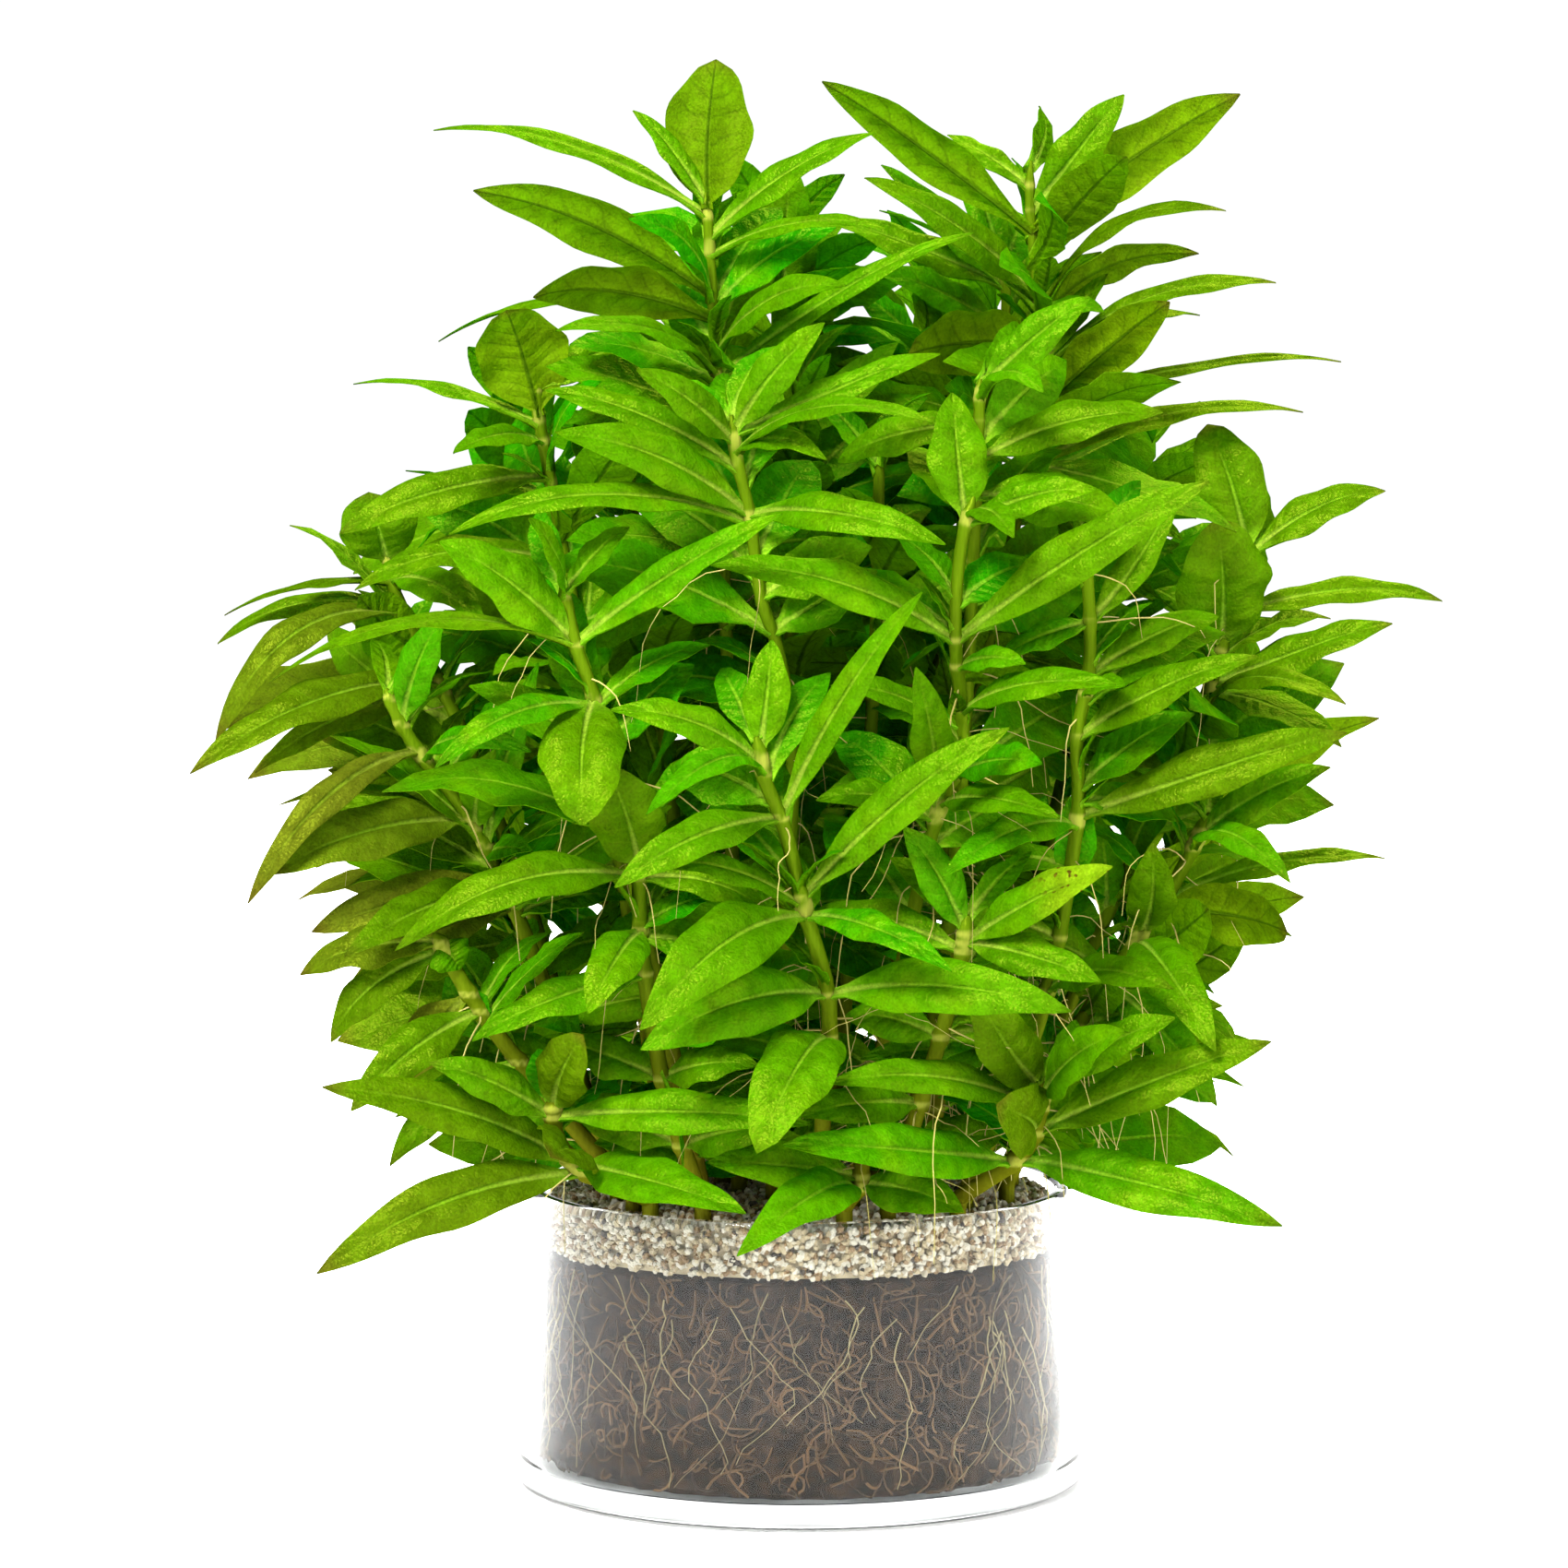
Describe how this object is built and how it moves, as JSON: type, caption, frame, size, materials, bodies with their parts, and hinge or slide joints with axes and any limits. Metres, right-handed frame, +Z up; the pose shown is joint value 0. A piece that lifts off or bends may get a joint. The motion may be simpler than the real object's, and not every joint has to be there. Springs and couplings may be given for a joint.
{
  "type": "potted staurogyne repens",
  "caption": "Bushy clump of upright leafy stems with narrow pointed leaves in crosswise pairs, growing from gravel in a low clear pot.",
  "frame": {"origin": "centre of the pot's flat underside", "axes": "+Z up, -Y towards the viewer of the picture, +X to the right"},
  "size_m": [0.1432, 0.1249, 0.1646],
  "materials": {
    "pot": "clear, smooth",
    "plug": "dark matted fibre, damp",
    "gravel": "dry pale quartz grains",
    "shoot": "living leaf, satin, paler along the midrib"
  },
  "bodies": {
    "root": {"gravel": "gravel", "plug": "plug", "pot": "pot", "shoot_back_far_left": "shoot", "shoot_back_high": "shoot", "shoot_back_left": "shoot", "shoot_back_left_low": "shoot", "shoot_back_low": "shoot", "shoot_back_middle": "shoot", "shoot_back_right": "shoot", "shoot_back_right_high": "shoot", "shoot_back_right_low": "shoot", "shoot_centre_right": "shoot", "shoot_core": "shoot", "shoot_core_left": "shoot", "shoot_core_right": "shoot", "shoot_far_left": "shoot", "shoot_far_right": "shoot", "shoot_front_centre": "shoot", "shoot_front_left": "shoot", "shoot_hem_back": "shoot", "shoot_hem_left": "shoot", "shoot_hem_right": "shoot", "shoot_inner_right": "shoot", "shoot_left": "shoot", "shoot_low_centre": "shoot", "shoot_low_left": "shoot", "shoot_low_right": "shoot", "shoot_lower_front_left": "shoot", "shoot_plantlet_centre": "shoot", "shoot_plantlet_left": "shoot", "shoot_plantlet_right": "shoot", "shoot_right": "shoot", "shoot_right_front_high": "shoot", "shoot_side_right": "shoot", "shoot_tall_centre": "shoot", "shoot_top_left": "shoot", "shoot_top_right": "shoot", "shoot_top_right_back": "shoot", "shoot_upper_left": "shoot"}
  },
  "joints": []
}
